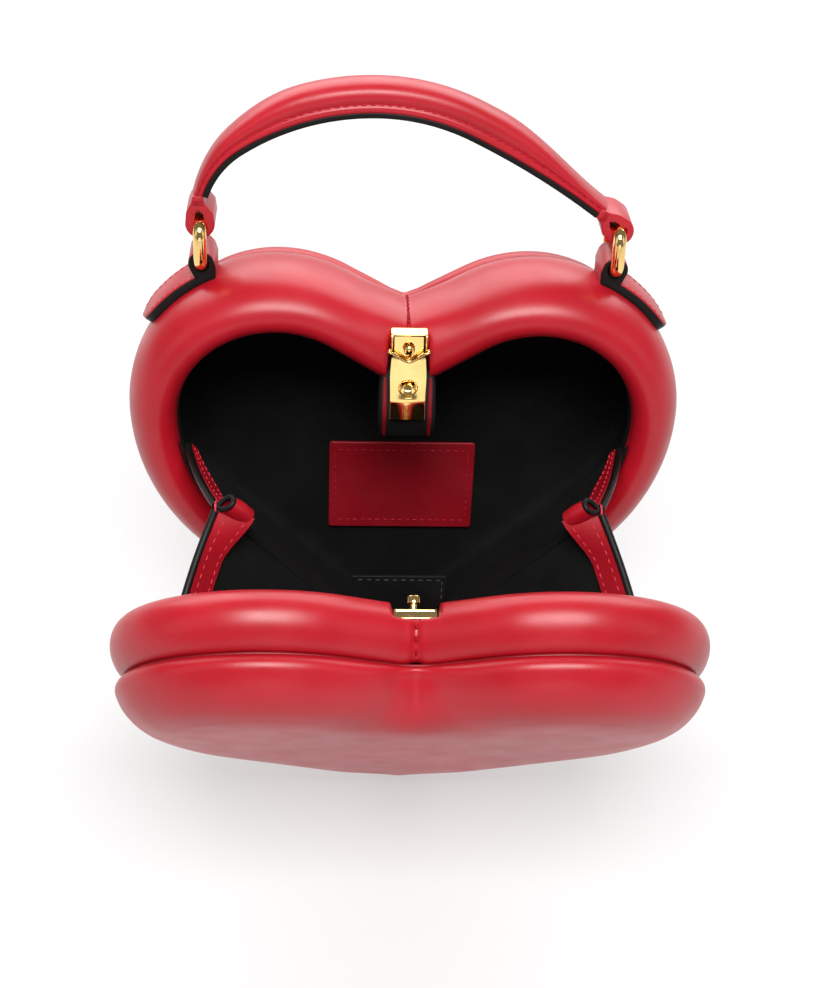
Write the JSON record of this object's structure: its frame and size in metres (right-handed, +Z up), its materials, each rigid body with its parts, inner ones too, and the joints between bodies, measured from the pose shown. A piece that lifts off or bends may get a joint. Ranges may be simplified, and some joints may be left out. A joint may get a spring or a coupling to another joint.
{
  "type": "heart shaped purse",
  "caption": "Rigid heart shaped clamshell handbag of padded leather, hinged at its tip, with folding side gussets, a push-down stud lock at the notch and a padded top handle on rings.",
  "frame": {"origin": "middle of the flat foot under the tip of the back half, on the floor", "axes": "+Z up, +X to the right of the bag seen from its opening side, -Y towards the front half that opens forward"},
  "size_m": [0.2, 0.2008, 0.2393],
  "materials": {
    "red_leather": "smooth glossy",
    "black_lining": "matte",
    "black_leather": "satin",
    "label_leather": "satin",
    "stiff_board": "matte",
    "gold_metal": "polished"
  },
  "bodies": {
    "back_half": {"back_band": "red_leather", "back_panel": "red_leather", "back_board": "stiff_board", "back_lining": "black_lining", "label_patch": "label_leather", "lock_tongue": "black_leather", "lock_plate": "gold_metal", "lock_spring": "gold_metal", "tab_left": "red_leather", "tab_right": "red_leather", "hinge_strip_back": "red_leather", "hinge_patch": "black_leather", "gusset_welt_left_back": "red_leather", "gusset_welt_right_back": "red_leather"},
    "front_half": {"front_band": "red_leather", "front_panel": "red_leather", "front_board": "stiff_board", "front_lining": "black_lining", "stud_plate": "gold_metal", "catch_stud": "gold_metal", "stud_block": "black_leather", "hinge_strip_front": "red_leather", "gusset_welt_left_front": "red_leather", "gusset_welt_right_front": "red_leather"},
    "gusset_leaf_left_back": {"gusset_left_back": "red_leather", "gusset_lining_left_back": "black_lining"},
    "gusset_leaf_left_front": {"gusset_left_front": "red_leather", "gusset_lining_left_front": "black_lining"},
    "gusset_leaf_right_back": {"gusset_right_back": "red_leather", "gusset_lining_right_back": "black_lining"},
    "gusset_leaf_right_front": {"gusset_right_front": "red_leather", "gusset_lining_right_front": "black_lining"},
    "left_ring": {"ring_left": "gold_metal"},
    "right_ring": {"ring_right": "gold_metal"},
    "handle": {"handle_strap": "red_leather", "handle_pad": "red_leather"},
    "release": {"release_knob": "gold_metal", "latch_slide": "gold_metal"}
  },
  "joints": [
    {"name": "front_hinge", "type": "hinge", "parent": "back_half", "child": "front_half", "pos_m": [0, -0.04127, 0.00777], "axis": [-1, 0, 0], "range_deg": [0, 40.5]},
    {"name": "gusset_left_back_hinge", "type": "hinge", "parent": "back_half", "child": "gusset_leaf_left_back", "pos_m": [-0.022, -0.02945, 0.04411], "axis": [-0.6379, 0.1601, 0.7533], "range_deg": [0, 76.21]},
    {"name": "gusset_right_back_hinge", "type": "hinge", "parent": "back_half", "child": "gusset_leaf_right_back", "pos_m": [0.022, -0.02945, 0.04411], "axis": [-0.6379, -0.1601, -0.7533], "range_deg": [0, 76.21]},
    {"name": "gusset_left_front_hinge", "type": "hinge", "parent": "front_half", "child": "gusset_leaf_left_front", "pos_m": [-0.022, -0.06292, 0.03926], "axis": [0.6379, 0.3675, -0.6768], "range_deg": [0, 76.21]},
    {"name": "gusset_right_front_hinge", "type": "hinge", "parent": "front_half", "child": "gusset_leaf_right_front", "pos_m": [0.022, -0.06292, 0.03926], "axis": [0.6379, -0.3675, 0.6768], "range_deg": [0, 76.21]},
    {"name": "left_ring_swing", "type": "hinge", "parent": "back_half", "child": "left_ring", "pos_m": [-0.07437, 0.02279, 0.17253], "axis": [0, 0.9781, -0.2079], "range_deg": [-40, 40]},
    {"name": "right_ring_swing", "type": "hinge", "parent": "back_half", "child": "right_ring", "pos_m": [0.07437, 0.02279, 0.17253], "axis": [0, 0.9781, -0.2079], "range_deg": [-46, 46]},
    {"name": "handle_pivot", "type": "hinge", "parent": "left_ring", "child": "handle", "pos_m": [-0.07437, 0.02595, 0.1874], "axis": [0, 0.9781, -0.2079], "range_deg": [-46, 46]},
    {"name": "release_slide", "type": "slide", "parent": "back_half", "child": "release", "axis": [0, -0.2079, -0.9781], "range_m": [0, 0.003], "stiffness_N_per_m": 200, "deforming": ["lock_spring"]}
  ],
  "couplings": [
    {"joint": "gusset_left_back_hinge", "follows": "front_hinge", "ratio": 1.8804},
    {"joint": "gusset_right_back_hinge", "follows": "front_hinge", "ratio": 1.8804},
    {"joint": "gusset_left_front_hinge", "follows": "front_hinge", "ratio": 1.8804},
    {"joint": "gusset_right_front_hinge", "follows": "front_hinge", "ratio": 1.8804},
    {"joint": "right_ring_swing", "follows": "left_ring_swing", "ratio": 1},
    {"joint": "handle_pivot", "follows": "left_ring_swing", "ratio": -1}
  ]
}
